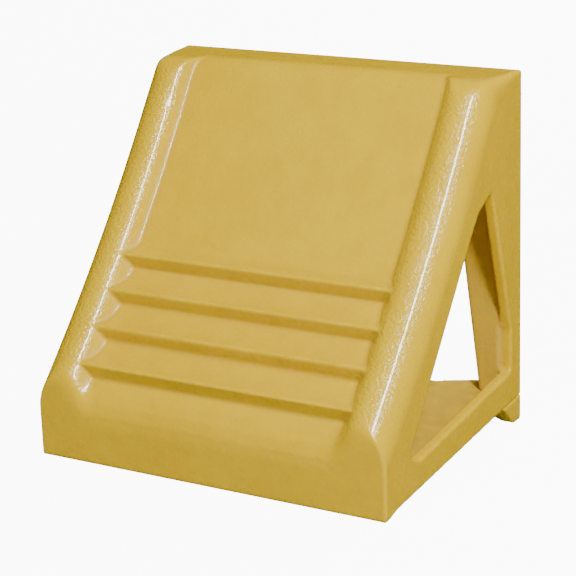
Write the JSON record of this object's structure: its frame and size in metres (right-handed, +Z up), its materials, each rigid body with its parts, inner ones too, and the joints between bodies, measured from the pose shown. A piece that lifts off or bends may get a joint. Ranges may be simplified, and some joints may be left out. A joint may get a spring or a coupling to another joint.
{
  "type": "wheel chock",
  "caption": "Wedge-shaped cast wheel chock with a concave tyre face, stepped grip ridges at the toe, round side rails, triangular side windows and an arched base plate.",
  "frame": {"origin": "centre of the footprint, on the ground", "axes": "+Z up, the toe points to -Y and the heel to +Y, +X across the width"},
  "size_m": [0.203, 0.156, 0.1896],
  "materials": {
    "casting_paint": "glossy yellow enamel over a sand casting",
    "plate_paint": "glossy yellow enamel",
    "fastener_steel": "zinc plated",
    "insert_steel": "plain"
  },
  "bodies": {
    "root": {"chock_body": "casting_paint", "base_plate": "plate_paint", "heel_cleat": "plate_paint", "heel_cleat_bolts": "fastener_steel", "heel_cleat_washers": "fastener_steel", "base_plate_screws": "fastener_steel", "threaded_inserts": "insert_steel"}
  },
  "joints": []
}
